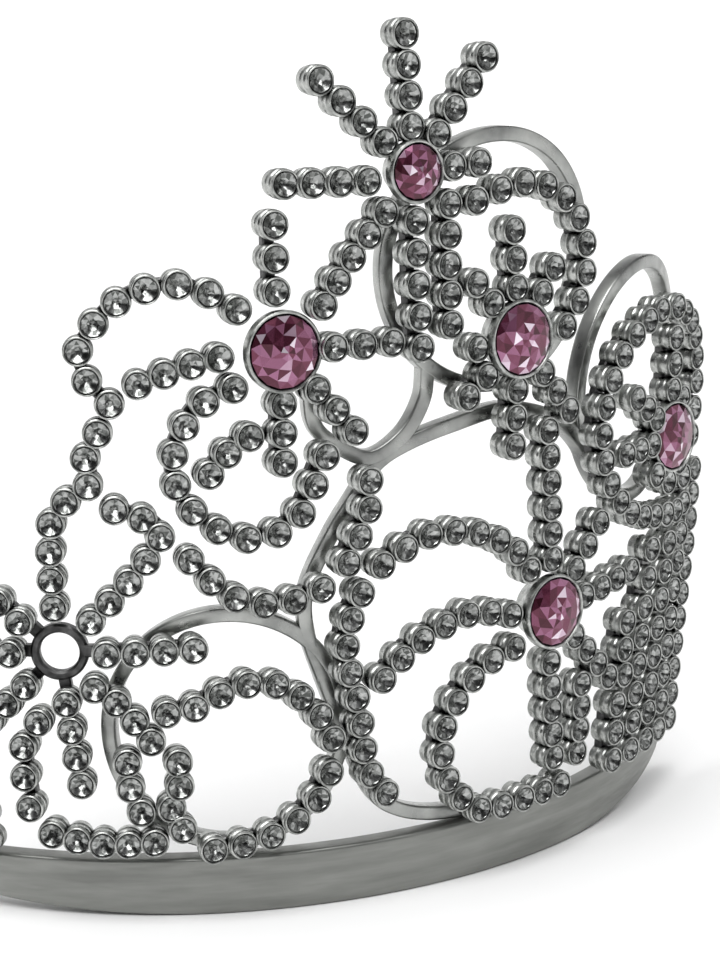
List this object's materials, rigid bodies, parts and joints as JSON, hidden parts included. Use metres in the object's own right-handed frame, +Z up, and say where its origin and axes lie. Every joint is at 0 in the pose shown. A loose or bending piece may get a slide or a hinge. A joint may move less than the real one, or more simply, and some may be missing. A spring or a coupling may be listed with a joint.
{
  "type": "crown",
  "caption": "Silver openwork crown: beaded strands, smooth hoops and pink faceted stones rising from a plain curved band that rests on the head.",
  "frame": {"origin": "on the band's flat underside, at the middle of the front and of the band's thickness", "axes": "+Z up, the way the crown is worn; -Y is the front; +X is the wearer's left"},
  "size_m": [0.1186, 0.0375, 0.1167],
  "materials": {
    "Silver": "bright silver metallised plastic",
    "Band_silver": "satin silver metallised plastic",
    "Pink_stone": "faceted pink stone with a foiled back"
  },
  "bodies": {
    "root": {"base_band": "Band_silver", "flower_lower_left": "Silver", "flower_lower_right": "Silver", "flower_peak": "Silver", "flower_side": "Silver", "flower_upper_left": "Silver", "flower_upper_right": "Silver", "hoop_centre_foot": "Silver", "hoop_centre_top": "Silver", "hoop_lower_left": "Silver", "hoop_side": "Silver", "hoop_upper_left": "Silver", "hoop_upper_right": "Silver", "stone_lower_right": "Pink_stone", "stone_peak": "Pink_stone", "stone_side": "Pink_stone", "stone_upper_left": "Pink_stone", "stone_upper_right": "Pink_stone", "strand_boundary_bottom": "Silver", "strand_boundary_top": "Silver", "strand_column_left": "Silver", "strand_column_right": "Silver", "strand_far_left_petal": "Silver", "strand_far_left_stem": "Silver", "strand_foot_row": "Silver", "strand_fork": "Silver", "strand_fork_left": "Silver", "strand_fork_right": "Silver", "strand_inner_curl": "Silver", "strand_left_end": "Silver", "strand_lower_arc": "Silver", "strand_lower_left_loop": "Silver", "strand_lower_right_arch": "Silver", "strand_lower_right_drop": "Silver", "strand_lower_right_foot": "Silver", "strand_lower_right_inner": "Silver", "strand_lower_right_petal": "Silver", "strand_lower_right_stem": "Silver", "strand_peak_column": "Silver", "strand_peak_diagonal": "Silver", "strand_peak_row": "Silver", "strand_petal_bottom": "Silver", "strand_petal_top": "Silver", "strand_right_stem": "Silver", "strand_ring_bottom": "Silver", "strand_ring_top": "Silver", "strand_side_cluster": "Silver", "strand_side_column_1": "Silver", "strand_side_column_2": "Silver", "strand_side_column_3": "Silver", "strand_side_column_4": "Silver", "strand_side_column_5": "Silver", "strand_side_loop_left": "Silver", "strand_side_loop_right": "Silver", "strand_side_row": "Silver", "strand_upper_left_loop": "Silver", "strand_upper_right_loop": "Silver"}
  },
  "joints": []
}
